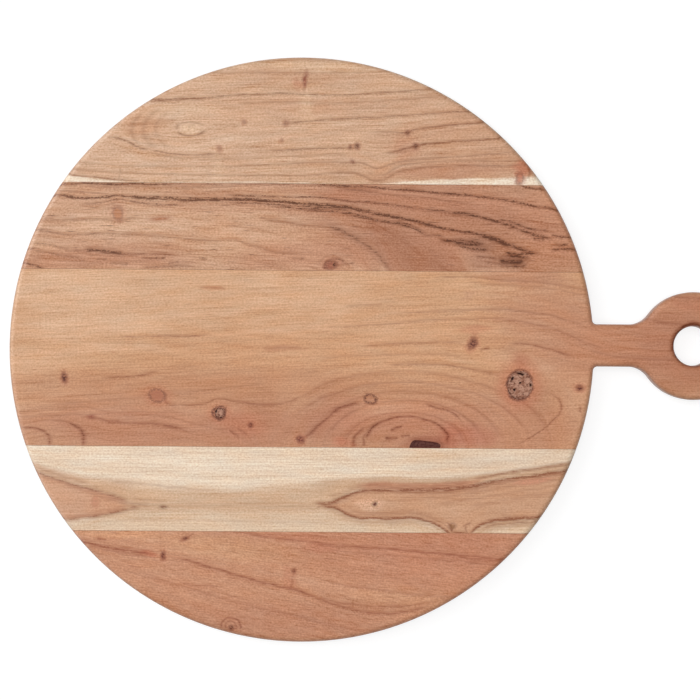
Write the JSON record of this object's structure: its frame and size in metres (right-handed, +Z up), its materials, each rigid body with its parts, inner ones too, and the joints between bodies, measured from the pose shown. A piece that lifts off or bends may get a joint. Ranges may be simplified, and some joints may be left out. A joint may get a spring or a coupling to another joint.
{
  "type": "serving paddle",
  "caption": "Round edge-glued wooden serving paddle with a narrow neck and a ring handle for hanging, used for carrying and serving food.",
  "frame": {"origin": "centre of the round board, on the flat underside it lies on", "axes": "+X from the board's centre to the handle along the grain, +Y across the staves to the back, +Z up through the board to the serving face"},
  "size_m": [0.5128, 0.406, 0.019],
  "materials": {
    "acacia_light_tan": "satin oil on light tan acacia with fine straight grain and pin knots",
    "acacia_dark_figure": "satin oil on medium brown acacia with dark brown figure lines",
    "acacia_golden": "satin oil on golden to reddish brown acacia with sound and filled knots",
    "acacia_sapwood": "satin oil on cream acacia sapwood with brown heartwood tongues",
    "acacia_red_brown": "satin oil on even red-brown acacia",
    "glue_line": "thin hard brown line of cured wood glue",
    "knot_resin": "sanded grey-brown resin and sawdust fill with dark pits",
    "bark_resin": "sanded black-brown resin fill over bark"
  },
  "bodies": {
    "root": {"back_edge_stave": "acacia_light_tan", "back_inner_stave": "acacia_dark_figure", "handle_stave": "acacia_golden", "front_inner_stave": "acacia_sapwood", "front_edge_stave": "acacia_red_brown", "glue_line_back_outer": "glue_line", "glue_line_back_inner": "glue_line", "glue_line_front_inner": "glue_line", "glue_line_front_outer": "glue_line", "large_knot_filler": "knot_resin", "small_knot_filler": "knot_resin", "bark_pocket_filler": "bark_resin"}
  },
  "joints": []
}
